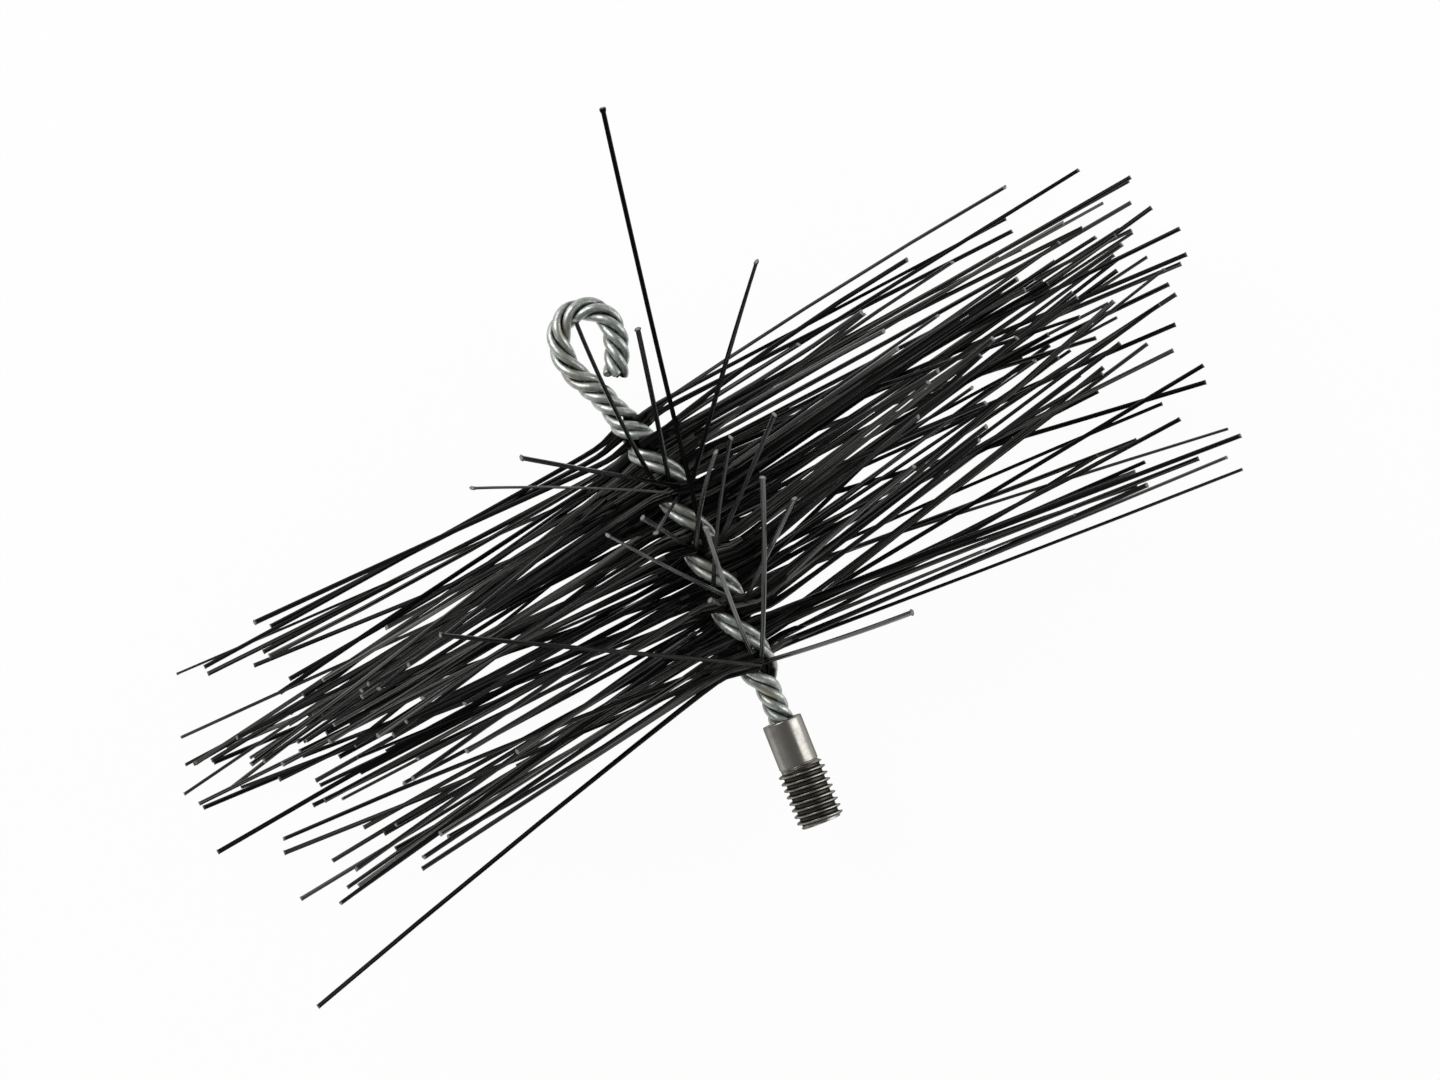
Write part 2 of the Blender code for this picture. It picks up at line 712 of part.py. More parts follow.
def main():
    clear_scene()
    random = np.random.default_rng(SEED)
    galvanised = finish_material("galvanised_wire", GALVANISED)
    steel = finish_material("turned_steel", TURNED_STEEL)
    plastic = finish_material("black_plastic", BLACK_PLASTIC)
    stem = Stem()
    build_ferrule(steel)
    sides = [(pair, side) for pair in (1, -1) for side in (1, -1)]
    for number, (pair, side) in enumerate(sides, start=1):
        build_wire(number, pair, side, stem, galvanised)
    report_wire_gaps(stem)
    tufts = [
        Tuft(number, stem, TUFT_COLUMNS, TUFT_ROWS, TUFT_LENGTH)
        for number in range(1, TUFT_COUNT + 1)
    ]
    tufts.append(Tuft(TUFT_COUNT + 1, stem, TOP_TUFT_COLUMNS, TOP_TUFT_ROWS, TOP_TUFT_LENGTH))
    bristles = [bristle for tuft in tufts for bristle in tuft.bristles]
    strays = [stray_line(stem, *shares) for shares in STRAY_SHARES]
    thicket = Thicket(len(strays) + len(bristles))
    for number, (tail, way_out, tip, width_direction) in enumerate(strays):
        thicket.place(number, way_out, tip, width_direction)
        build_stray(number + 1, tail, way_out, tip, width_direction, plastic)
    settle_bristles(bristles, thicket, len(strays), random)
    for tuft in tufts:
        tuft.build(plastic)
    print(f"bristles {len(thicket.gaps)}, least gap {thicket.gaps.min() * 1000:.2f} mm")


main()
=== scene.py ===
import math

import bpy
import numpy as np
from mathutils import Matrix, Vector


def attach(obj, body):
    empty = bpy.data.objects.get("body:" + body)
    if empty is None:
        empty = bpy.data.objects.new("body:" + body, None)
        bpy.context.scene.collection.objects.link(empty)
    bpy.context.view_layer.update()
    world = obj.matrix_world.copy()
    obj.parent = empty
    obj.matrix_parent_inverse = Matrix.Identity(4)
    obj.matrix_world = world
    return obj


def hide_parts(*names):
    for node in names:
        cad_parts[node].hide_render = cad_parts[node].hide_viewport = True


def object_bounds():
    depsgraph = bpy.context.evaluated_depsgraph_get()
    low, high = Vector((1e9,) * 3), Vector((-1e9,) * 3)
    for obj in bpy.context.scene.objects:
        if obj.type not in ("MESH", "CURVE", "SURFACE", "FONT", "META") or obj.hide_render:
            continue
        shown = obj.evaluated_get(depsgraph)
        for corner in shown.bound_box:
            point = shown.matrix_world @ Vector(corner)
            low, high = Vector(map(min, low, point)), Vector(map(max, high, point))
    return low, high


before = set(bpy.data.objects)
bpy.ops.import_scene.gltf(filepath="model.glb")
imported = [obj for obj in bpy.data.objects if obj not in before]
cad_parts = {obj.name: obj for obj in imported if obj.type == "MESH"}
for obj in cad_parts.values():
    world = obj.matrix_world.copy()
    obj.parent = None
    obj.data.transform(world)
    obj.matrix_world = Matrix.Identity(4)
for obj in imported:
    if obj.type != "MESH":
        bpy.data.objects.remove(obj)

# Lengths are millimetres and angles are degrees, apart from where Blender's own units are set.
# The origin is the centre of the ferrule's end face, +Y runs up the stem and +Z faces the camera.
mm = 0.001
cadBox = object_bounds()
random = np.random.default_rng(23)
up = np.array([0.0, 0.0, 1.0])
fullTurn = 2.0 * math.pi
quarterTurn = math.pi / 2.0
print("frame loaded with", len(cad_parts), "nodes")

view = {
    "distance": 1200.0,  # from the camera to the middle of the stem
    "frameWidth": 360.0,  # what the picture's width takes in at that distance
    "middle": (2.4, 75.0),
    "turn": -21.7,
    "sensor": 36.0,
    "clip": (10.0, 20000.0),
}
studio = {
    "floorSize": 6000.0,
    "floorGap": 0.05,
    "floorColour": (0.90, 0.90, 0.90),
    "floorWhite": 0.96,  # share of the floor that shows as plain white
    # brightness of the room by height of the direction, from the horizon to straight above
    "room": ((0.0, 0.50), (0.5, 0.45), (0.8, 0.27), (0.95, 0.20)),
    # each lamp's place, size and power in watts, pointed at the middle of the stem
    "lamps": {
        "left_lamp": ((-380.0, 740.0, 640.0), (760.0, 760.0), 6.6),
        "right_lamp": ((810.0, -40.0, 350.0), (300.0, 900.0), 2.4),
    },
}
white = (1.0, 1.0, 1.0, 1.0)


def addCamera():
    data = bpy.data.cameras.new("camera")
    data.sensor_width = view["sensor"]
    data.lens = view["sensor"] * view["distance"] / view["frameWidth"]
    data.clip_start, data.clip_end = (distance * mm for distance in view["clip"])
    camera = bpy.data.objects.new("camera", data)
    camera.location = Vector((*view["middle"], view["distance"])) * mm
    camera.rotation_euler = (0.0, 0.0, math.radians(view["turn"]))
    bpy.context.scene.collection.objects.link(camera)
    bpy.context.scene.camera = camera


def addLamps():
    target = Vector((*view["middle"], 0.0)) * mm
    for name, (place, size, power) in studio["lamps"].items():
        data = bpy.data.lights.new(name, "AREA")
        data.shape = "RECTANGLE"
        data.size = size[0] * mm
        data.size_y = size[1] * mm
        data.energy = power
        lamp = bpy.data.objects.new(name, data)
        lamp.location = Vector(place) * mm
        # a lamp shines along its own -Z
        lamp.rotation_euler = (lamp.location - target).to_track_quat("Z", "Y").to_euler()
        bpy.context.scene.collection.objects.link(lamp)


def setInputs(tree, node, values):
    # each named input gets the value, or a link where the value is another node's socket
    for key, value in values.items():
        if isinstance(value, bpy.types.NodeSocket):
            tree.links.new(value, node.inputs[key])
        else:
            node.inputs[key].default_value = value


def addNode(tree, kind, values=None, **settings):
    # one node, with its settings first and then its inputs
    node = tree.nodes.new(kind)
    for key, value in settings.items():
        setattr(node, key, value)
    setInputs(tree, node, values or {})
    return node


def calculate(tree, operation, first, second):
    node = addNode(tree, "ShaderNodeMath", {0: first, 1: second}, operation=operation)
    return node.outputs[0]


def rescale(tree, value, span, ends=(0.0, 1.0)):
    # maps the span on to the ends, which hold outside it
    node = addNode(tree, "ShaderNodeMapRange", {"Value": value, "From Min": span[0],
                                                "From Max": span[1], "To Min": ends[0],
                                                "To Max": ends[1]})
    return node.outputs[0]


def addNoise(tree, place, scale, detail, roughness):
    node = addNode(tree, "ShaderNodeTexNoise", {"Vector": place, "Scale": scale,
                                                "Detail": detail, "Roughness": roughness})
    return node.outputs["Fac"]


def blend(tree, share, first, second, kind="RGBA"):
    node = addNode(tree, "ShaderNodeMix", {"Factor": share, "A": first, "B": second},
                   data_type=kind)
    return node.outputs["Result"]


def blendShaders(tree, share, first, second):
    node = addNode(tree, "ShaderNodeMixShader", {0: share, 1: first, 2: second})
    return node.outputs[0]


def backgroundRay(tree):
    # 1 for what the camera sees directly, in a reflection or through glass
    path = addNode(tree, "ShaderNodeLightPath")
    seen = calculate(tree, "MAXIMUM", path.outputs["Is Camera Ray"], path.outputs["Is Glossy Ray"])
    return calculate(tree, "MAXIMUM", seen, path.outputs["Is Transmission Ray"])


def addWorld():
    world = bpy.data.worlds.new("studio")
    bpy.context.scene.world = world
    world.use_nodes = True
    tree = world.node_tree
    tree.nodes.clear()
    path = addNode(tree, "ShaderNodeLightPath")
    direction = addNode(tree, "ShaderNodeTexCoord")
    split = addNode(tree, "ShaderNodeSeparateXYZ", {0: direction.outputs["Generated"]})
    ramp = addNode(tree, "ShaderNodeValToRGB", {0: split.outputs["Z"]})
    steps = ramp.color_ramp.elements
    for number, (height, brightness) in enumerate(studio["room"]):
        step = steps[number] if number < len(steps) else steps.new(height)
        step.position = height
        step.color = (brightness, brightness, brightness, 1.0)
    light = addNode(tree, "ShaderNodeBackground", {"Color": ramp.outputs["Color"]})
    plain = addNode(tree, "ShaderNodeBackground", {"Color": white})
    mixed = blendShaders(tree, path.outputs["Is Camera Ray"], light.outputs[0], plain.outputs[0])
    addNode(tree, "ShaderNodeOutputWorld", {"Surface": mixed})


def addFloor():
    half = studio["floorSize"] / 2.0
    level = cadBox[0][2] / mm - studio["floorGap"]
    corners = np.array([(-half, -half, level), (half, -half, level),
                        (half, half, level), (-half, half, level)])
    mesh = bpy.data.meshes.new("floor")
    mesh.from_pydata((corners * mm).tolist(), [], [(0, 1, 2, 3)])
    floor = bpy.data.objects.new("floor", mesh)
    bpy.context.scene.collection.objects.link(floor)
    material = bpy.data.materials.new("white_floor")
    material.use_nodes = True
    tree = material.node_tree
    tree.nodes.clear()
    matt = addNode(tree, "ShaderNodeBsdfDiffuse", {"Color": (*studio["floorColour"], 1.0)})
    plain = addNode(tree, "ShaderNodeEmission", {"Color": white})
    share = calculate(tree, "MULTIPLY", backgroundRay(tree), studio["floorWhite"])
    mixed = blendShaders(tree, share, matt.outputs[0], plain.outputs[0])
    addNode(tree, "ShaderNodeOutputMaterial", {"Surface": mixed})
    mesh.materials.append(material)


addCamera()
addLamps()
addWorld()
addFloor()
bpy.context.scene.view_settings.view_transform = "Standard"
print("camera, lamps and floor set")


def addGroup(name, ins, outs):
    # an empty node group; ins give each socket's type and value, outs its type
    group = bpy.data.node_groups.new(name, "ShaderNodeTree")
    for key, (kind, value) in ins.items():
        socket = group.interface.new_socket(name=key, in_out="INPUT", socket_type=kind)
        if value is not None:
            socket.default_value = value
    for key, kind in outs.items():
        group.interface.new_socket(name=key, in_out="OUTPUT", socket_type=kind)
    start = group.nodes.new("NodeGroupInput")
    end = group.nodes.new("NodeGroupOutput")
    return group, start.outputs, end


def fineStreaksGroup():
    # lines left by drawing or turning: noise on the piece's own UV map, stretched one way
    group, given, end = addGroup(
        "fine_streaks",
        {"Map": ("NodeSocketVector", None),
         "Across": ("NodeSocketFloat", 60.0),
         "Along": ("NodeSocketFloat", 2.0)},
        {"Height": "NodeSocketFloat"},
    )
    scale = addNode(group, "ShaderNodeCombineXYZ", {0: given["Across"], 1: given["Along"]})
    place = addNode(group, "ShaderNodeVectorMath", {0: given["Map"], 1: scale.outputs[0]},
                    operation="MULTIPLY")
    height = addNoise(group, place.outputs[0], scale=1.0, detail=3.0, roughness=0.6)
    setInputs(group, end, {"Height": height})
    return group


def grimeAndShadeGroup():
    # dirt and painted shade where the mask is high, broken by noise; gives colour and roughness
    look = {
        "noiseSpan": (0.35, 0.65),
        "grimeAndShadeSpan": (0.25, 0.95),  # mask where the dark colour starts, and where it is full
    }
    group, given, end = addGroup(
        "grimeAndShade",
        {"Color": ("NodeSocketColor", (0.5, 0.5, 0.5, 1.0)),
         "DirtAndShade": ("NodeSocketColor", (0.05, 0.05, 0.04, 1.0)),
         "Mask": ("NodeSocketFloat", 0.0),
         "Place": ("NodeSocketVector", None),
         "Scale": ("NodeSocketFloat", 400.0),
         "Break": ("NodeSocketFloat", 0.25),
         "Roughness": ("NodeSocketFloat", 0.3),
         "DirtAndShade Roughness": ("NodeSocketFloat", 0.6)},
        {"Color": "NodeSocketColor", "Roughness": "NodeSocketFloat"},
    )
    noise = addNoise(group, given["Place"], given["Scale"], detail=4.0, roughness=0.65)
    patches = rescale(group, noise, look["noiseSpan"], (-1.0, 1.0))
    patches = calculate(group, "MULTIPLY", patches, given["Break"])
    mask = calculate(group, "ADD", given["Mask"], patches)
    amount = rescale(group, mask, look["grimeAndShadeSpan"])
    colour = blend(group, amount, given["Color"], given["DirtAndShade"])
    rough = blend(group, amount, given["Roughness"], given["DirtAndShade Roughness"], "FLOAT")
    setInputs(group, end, {"Color": colour, "Roughness": rough})
    return group


fineStreaks = fineStreaksGroup()
grimeAndShade = grimeAndShadeGroup()
noiseSpan = (0.3, 0.7)  # most of a noise lies between these


def startMaterial(name):
    material = bpy.data.materials.new(name)
    material.use_nodes = True
    tree = material.node_tree
    return material, tree, tree.nodes["Principled BSDF"]


def addStreaks(tree, look):
    uv = addNode(tree, "ShaderNodeUVMap", uv_map="UVMap")
    streaks = addNode(tree, "ShaderNodeGroup", {"Map": uv.outputs["UV"], **look["streaks"]},
                      node_tree=fineStreaks)
    return streaks.outputs["Height"]


def addRelief(tree, height, look):
    bump = addNode(tree, "ShaderNodeBump", {"Height": height, "Strength": look["reliefStrength"],
                                            "Distance": look["reliefDepth"] * mm})
    return bump.outputs["Normal"]


def finishMetal(tree, shader, look, place, colour, roughness):
    # dirt and painted shade where the piece's groove values are high, and streaks along its UV map
    groove = addNode(tree, "ShaderNodeAttribute", attribute_name="groove")
    soiledAndShaded = addNode(tree, "ShaderNodeGroup", {"Color": colour, "Roughness": roughness,
                                              "Mask": groove.outputs["Fac"], "Place": place,
                                              **look["grimeAndShade"]}, node_tree=grimeAndShade)
    setInputs(tree, shader, {"Base Color": soiledAndShaded.outputs["Color"],
                             "Roughness": soiledAndShaded.outputs["Roughness"],
                             "Normal": addRelief(tree, addStreaks(tree, look), look),
                             "Metallic": 1.0,
                             "Specular Tint": look["edgeTint"]})


def galvanisedWireMaterial():
    # zinc coat with a mottled bloom, and painted shade, darker and browner, where two wires meet
    look = {
        "dull": (0.33, 0.35, 0.33, 1.0),
        "pale": (0.56, 0.59, 0.56, 1.0),
        "bloomScale": 620.0,
        "bloomSpan": (0.36, 0.62),
        "roughness": (0.50, 0.33),  # where it is dull, and where it is pale
        "warm": (0.40, 0.36, 0.28, 1.0),
        "warmScale": 140.0,
        "warmSpan": (0.54, 0.74),
        "warmShare": 0.8,
        "edgeTint": (0.75, 0.77, 0.75, 1.0),
        "grimeAndShade": {"DirtAndShade": (0.022, 0.020, 0.016, 1.0), "Scale": 400.0, "Break": 0.25,
                  "DirtAndShade Roughness": 0.6},
        "streaks": {"Across": 26.0, "Along": 60.0},
        "reliefStrength": 0.12,
        "reliefDepth": 0.05,
    }
    material, tree, shader = startMaterial("galvanised_wire")
    place = addNode(tree, "ShaderNodeTexCoord").outputs["Object"]
    bloom = addNoise(tree, place, look["bloomScale"], detail=4.0, roughness=0.7)
    zinc = blend(tree, rescale(tree, bloom, look["bloomSpan"]), look["dull"], look["pale"])
    patch = addNoise(tree, place, look["warmScale"], detail=3.0, roughness=0.5)
    warmth = rescale(tree, patch, look["warmSpan"], (0.0, look["warmShare"]))
    tinted = blend(tree, warmth, zinc, look["warm"])
    rough = rescale(tree, bloom, noiseSpan, look["roughness"])
    finishMetal(tree, shader, look, place, tinted, rough)
    return material


def turnedSteelMaterial():
    # bare turned steel: fine rings round the sleeve, oil, dirt and painted shade in the bottom of
    # the thread
    look = {
        "steel": (0.335, 0.325, 0.30, 1.0),
        "tarnish": (0.26, 0.25, 0.225, 1.0),
        "tarnishScale": 260.0,
        "tarnishSpan": (0.42, 0.68),
        "roughness": (0.20, 0.36),  # where it is bright, and where it is tarnished
        "edgeTint": (0.35, 0.345, 0.33, 1.0),
        "grimeAndShade": {"DirtAndShade": (0.060, 0.057, 0.050, 1.0), "Scale": 500.0, "Break": 0.08,
                  "DirtAndShade Roughness": 0.42},
        "streaks": {"Across": 3.0, "Along": 9000.0},
        "reliefStrength": 0.10,
        "reliefDepth": 0.03,
    }
    material, tree, shader = startMaterial("turned_steel")
    place = addNode(tree, "ShaderNodeTexCoord").outputs["Object"]
    cloud = addNoise(tree, place, look["tarnishScale"], detail=5.0, roughness=0.6)
    share = rescale(tree, cloud, look["tarnishSpan"])
    steel = blend(tree, share, look["steel"], look["tarnish"])
    rough = rescale(tree, cloud, noiseSpan, look["roughness"])
    finishMetal(tree, shader, look, place, steel, rough)
    return material


def blackPlasticMaterial():
    # extruded black plastic with painted highlights, fine grey lines along each bristle, as far as
    # its grey and sheen value goes, and paler where it was cut
    look = {
        "black": (0.0010, 0.0011, 0.0009, 1.0),
        "highlightGrey": (0.205, 0.214, 0.196, 1.0),
        "cut": (0.32, 0.325, 0.31, 1.0),
        "highlightLineSpan": (0.46, 0.60),
        "roughness": (0.16, 0.34),
        "specular": 0.08,
        "streaks": {"Across": 5.0, "Along": 12.0},
        "reliefStrength": 0.30,
        "reliefDepth": 0.04,
    }
    material, tree, shader = startMaterial("black_plastic")
    # how grey each bristle is and how bright its painted highlight lines are
    greyAndSheen = addNode(tree, "ShaderNodeAttribute", attribute_name="greyAndSheen").outputs["Fac"]
    cut = addNode(tree, "ShaderNodeAttribute", attribute_name="cut").outputs["Fac"]
    streaks = addStreaks(tree, look)
    # the grey lines are painted highlights that stand in for the lamps' streaks along each bristle
    highlightLines = rescale(tree, streaks, look["highlightLineSpan"])
    plastic = blend(tree, calculate(tree, "MULTIPLY", greyAndSheen, highlightLines), look["black"], look["highlightGrey"])
    setInputs(tree, shader, {"Base Color": blend(tree, cut, plastic, look["cut"]),
                             "Roughness": rescale(tree, streaks, noiseSpan, look["roughness"]),
                             "Normal": addRelief(tree, streaks, look),
                             "Specular IOR Level": look["specular"]})
    return material


finishes = {
    "galvanised_wire": galvanisedWireMaterial(),
    "turned_steel": turnedSteelMaterial(),
    "black_plastic": blackPlasticMaterial(),
}
print("materials made")


def unit(vectors):
    return vectors / np.linalg.norm(vectors, axis=-1, keepdims=True)


def dot(first, second):
    return np.sum(first * second, axis=-1, keepdims=True)


def runningLength(points):
    # length along each line of points, up to each point
    steps = np.linalg.norm(np.diff(points, axis=-2), axis=-1)
    return np.concatenate([np.zeros((*steps.shape[:-1], 1)), np.cumsum(steps, axis=-1)], axis=-1)


def addPiece(name, points, faces, uvs, attributes, finish, stands, smooth=True):
    # a mesh from arrays: points, faces as corner lists, one UV and any named values per point.
    # Its object sits at the origin, rides on the one body and stands for the CAD nodes.
    mesh = bpy.data.meshes.new(name)
    mesh.from_pydata((points * mm).tolist(), [], faces)
    corners = np.empty(len(mesh.loops), dtype=int)
    mesh.loops.foreach_get("vertex_index", corners)
    layer = mesh.uv_layers.new(name="UVMap")
    layer.data.foreach_set("uv", uvs[corners].ravel())
    for key, values in attributes.items():
        slot = mesh.attributes.new(key, "FLOAT", "POINT")
        slot.data.foreach_set("value", values.astype(np.float32))
    mesh.polygons.foreach_set("use_smooth", np.full(len(faces), smooth))
    mesh.materials.append(finishes[finish])
    piece = bpy.data.objects.new(name, mesh)
    bpy.context.scene.collection.objects.link(piece)
    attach(piece, "root")
    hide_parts(*stands)


def tubeFaces(count, rings, sides):
    # quads of count tubes of rings by sides points, ring after ring, with a fan on each end.
    # Each tube's points are its rings, then the middle of its first end and of its last.
    ring = np.arange(rings - 1)[:, None] * sides
    side = np.arange(sides)
    after = (side + 1) % sides
    quads = np.stack([ring + side, ring + after,
                      ring + sides + after, ring + sides + side], axis=-1)
    first = np.stack([side, np.full(sides, rings * sides), after], axis=-1)
    last = first[:, [2, 1, 0]] + np.array([(rings - 1) * sides, 1, (rings - 1) * sides])
    starts = np.arange(count)[:, None, None] * (rings * sides + 2)
    quads = (quads.reshape(-1, 4)[None] + starts).reshape(-1, 4).tolist()
    fans = (np.concatenate([first, last])[None] + starts).reshape(-1, 3).tolist()
    return quads + fans


def ovalSection(sides, width, thickness):
    # points (width / 2 * cos, thickness / 2 * sin) round an oval
    theta = np.linspace(0.0, fullTurn, sides, endpoint=False)
    return np.stack([np.cos(theta) * width / 2.0, np.sin(theta) * thickness / 2.0], axis=-1)


def sweep(centres, beside, above, section, sizes):
    # points of tubes: centre + size * (section x * beside + section y * above), all as arrays
    # of tube, ring, side and coordinate, followed by the middles of both ends
    offsets = section[None, None, :, 0, None] * beside[:, :, None, :]
    offsets = offsets + section[None, None, :, 1, None] * above[:, :, None, :]
    rings = centres[:, :, None, :] + sizes[..., None, None] * offsets
    count = len(centres)
    return np.concatenate([rings.reshape(count, -1, 3), centres[:, :1], centres[:, -1:]], axis=1)


def sweepMaps(lengths, sides):
    # UV of the same points: the share round the tube, which runs back so that it has no seam,
    # and metres along it
    count, rings = lengths.shape
    around = np.abs(np.linspace(-1.0, 1.0, sides, endpoint=False))
    around = np.broadcast_to(around, (count, rings, sides))
    along = np.broadcast_to(lengths[:, :, None], (count, rings, sides))
    maps = np.stack([around, along * mm], axis=-1).reshape(count, -1, 2)
    ends = np.stack([np.zeros((count, 2)), lengths[:, [0, -1]] * mm], axis=-1)
    return np.concatenate([maps, ends], axis=1).reshape(-1, 2)


stem = {
    "start": 17.3,  # where the wires start in the ferrule's socket, from the end face
    # stretches as length and how far each turns to the left
    "bends": ((10.1, 0.0), (13.2, 3.8), (46.9, 0.0), (19.6, 14.9), (10.3, 0.0), (9.0, 14.4),
              (12.4, -47.3), (7.3, -60.7), (13.0, -106.8), (7.3, -23.3), (4.8, 0.0)),
    "eyeBends": (6, 9),  # after how many stretches the eye starts and ends
    "tuftPlaces": (34.9, 50.5, 66.1, 81.7),  # along the wires, without the top bundle
    "tuftPitch": 15.6,
    "tuftTurn": 0.25,  # turn of the first bundle, where one pair lies above the other
    # length of a whole turn of the twist: rope, parted, rope, eye and ends
    "lays": (15.5, 31.2, 16.8, 23.0, 16.8),
    "layChange": 6.0,  # length over which one lay passes into the next
    "openBefore": 11.4,  # where the pairs lie fully parted, before the first bundle
    "partingLength": 5.5,
    "topBundle": 4.2,  # length of the opening for the last bundle
    "step": 0.1,
    "searchEvery": 4,  # steps from one tried place to the next when the nearest is looked for
}
strand = {
    "diameter": 2.4,
    # how far a wire stands off the middle both ways, by stretch: rope, parted, top bundle, eye
    "ropeOffset": 1.42,
    "ropeLimit": 1.02,  # share of that offset up to which the four wires touch
    "partedOffset": 3.5,
    "topOffset": 2.2,
    "eyeOffset": 1.30,
    "sides": 20,
    "stations": 900,
    "endRound": 0.35,
    # painted shade on a wire's flanks, how much it gains towards the stem's middle, and dirt on
    # its ends
    "flankShade": 0.64,
    "flankShadeChange": 0.80,
    "endDirt": 0.3,
}


def smoothBetween(where, knots, values):
    # value held outside the knots, with an S-shaped change 3t^2 - 2t^3 between each two
    share = np.interp(where, knots, np.arange(len(knots)))
    lower = np.clip(np.floor(share).astype(int), 0, len(knots) - 2)
    part = share - lower
    part = part * part * (3.0 - 2.0 * part)
    values = np.asarray(values, dtype=float)
    return values[lower] * (1.0 - part) + values[lower + 1] * part


def layOutStem():
    # the middle line is the running sum of its heading, and the twist that of 1 / lay
    lengths = np.array([length for length, turn in stem["bends"]])
    ends = np.concatenate([[0.0], np.cumsum(lengths)])
    headings = np.concatenate([[0.0], np.cumsum([turn for length, turn in stem["bends"]])])
    along = np.linspace(0.0, ends[-1], round(ends[-1] / stem["step"]))
    step = along[1] - along[0]
    heading = np.radians(np.interp(along, ends, headings))
    tufts = list(stem["tuftPlaces"])
    ease = stem["layChange"] / 2.0
    openStart = tufts[0] - stem["openBefore"]
    # the pairs start to close a quarter of a pitch past the last of these bundles
    openEnd = tufts[-1] + stem["tuftPitch"] / 4.0
    eyeStart, eyeEnd = (ends[bend] for bend in stem["eyeBends"])
    changes = (openStart - ease, openEnd, eyeStart, eyeEnd)
    knots = np.ravel([(change - ease, change + ease) for change in changes])
    rates = np.repeat([1.0 / lay for lay in stem["lays"]], 2)[1:-1]
    rate = smoothBetween(along, knots, rates)
    turns = np.cumsum(rate) * step
    turns = turns - np.interp(tufts[0], along, turns) + stem["tuftTurn"]
    # the top bundle lies half a turn past the last of the others
    tufts.append(float(np.interp(stem["tuftTurn"] + len(tufts) / 2.0, turns, along)))
    topStart = tufts[-1] - stem["topBundle"] / 2.0
    topEnd = tufts[-1] + stem["topBundle"] / 2.0
    places = (openStart - stem["partingLength"], openStart, openEnd, topStart, topEnd,
              topEnd + stem["partingLength"], eyeStart - ease, eyeStart + ease,
              eyeEnd - ease, eyeEnd + ease)
    rope = strand["ropeOffset"]
    offsets = (rope, strand["partedOffset"], strand["partedOffset"], strand["topOffset"],
               strand["topOffset"], rope, rope, strand["eyeOffset"], strand["eyeOffset"], rope)
    offset = smoothBetween(along, places, offsets)
    beside = smoothBetween(along, places[-4:], offsets[-4:])
    # the steeper a parted pair winds, the wider apart its two wires lie
    slant = fullTurn * offset * rate
    spacing = np.maximum(strand["diameter"] / 2.0 * np.sqrt(1.0 + slant * slant), beside)
    spacing = np.where(offset < rope * strand["ropeLimit"], beside, spacing)
    return {
        "along": along, "length": ends[-1], "heading": heading, "turns": turns, "tufts": tufts,
        "x": -np.cumsum(np.sin(heading)) * step,
        "y": np.cumsum(np.cos(heading)) * step + stem["start"],
        "offset": offset, "spacing": spacing,
    }


line = layOutStem()


def read(key, where):
    return np.interp(where, line["along"], line[key])


def stemCentre(where):
    x = read("x", where)
    return np.stack([x, read("y", where), np.zeros_like(x)], axis=-1)


def turned(where, angle):
    # unit direction square to the stem, turned by angle from the right towards +Z
    heading = read("heading", where)
    across = np.stack([np.cos(heading), np.sin(heading), np.zeros_like(heading)], axis=-1)
    return np.cos(angle)[..., None] * across + np.sin(angle)[..., None] * up


def stemWay(where):
    # unit direction along the stem
    return np.cross(up, turned(where, np.zeros(len(where))))


def buildWires():
    # each wire: stem centre + pair * offset * towards the pair + side * spacing * beside it,
    # with a round section carried along that line
    where = np.linspace(0.0, line["length"], strand["stations"])
    angle = fullTurn * read("turns", where)
    towards = turned(where, angle)
    beside = turned(where, angle + quarterTurn)
    middle = stemCentre(where)
    offset = read("offset", where)[:, None]
    spacing = read("spacing", where)[:, None]
    radius = strand["diameter"] / 2.0
    sides = strand["sides"]
    section = ovalSection(sides, 2.0, 2.0)
    faces = tubeFaces(1, len(where), sides)
    # painted shade on the side of each wire that faces the stem's middle, where the wires meet
    dirtAndShade = np.clip(strand["flankShade"] - strand["flankShadeChange"] * section[:, 1], 0.0, 1.0)
    groove = np.concatenate([np.tile(dirtAndShade, len(where)), np.full(2, strand["endDirt"])])
    number = 0
    for pair in (1, -1):
        for side in (1, -1):
            number += 1
            centres = middle + pair * offset * towards
            centres = centres + side * spacing * beside
            tangent = unit(np.gradient(centres, axis=0))
            outward = unit(centres - middle)
            sideways = unit(np.cross(outward, tangent))
            outward = np.cross(tangent, sideways)
            lengths = runningLength(centres)
            # the cut ends are rounded off: radius - r (1 - sqrt(1 - (1 - d / r)^2)) within r
            fromEnd = np.minimum(lengths, lengths[-1] - lengths)
            near = np.clip(1.0 - fromEnd / strand["endRound"], 0.0, 1.0)
            sizes = radius - strand["endRound"] * (1.0 - np.sqrt(1.0 - near * near))
            points = sweep(centres[None], sideways[None], outward[None], section, sizes[None])[0]
            addPiece(f"galvanised_wire_{number}", points, faces, sweepMaps(lengths[None], sides),
                     {"groove": groove}, "galvanised_wire", [f"stem_wire_{number}"])


buildWires()
print("wires twisted, eye bent")

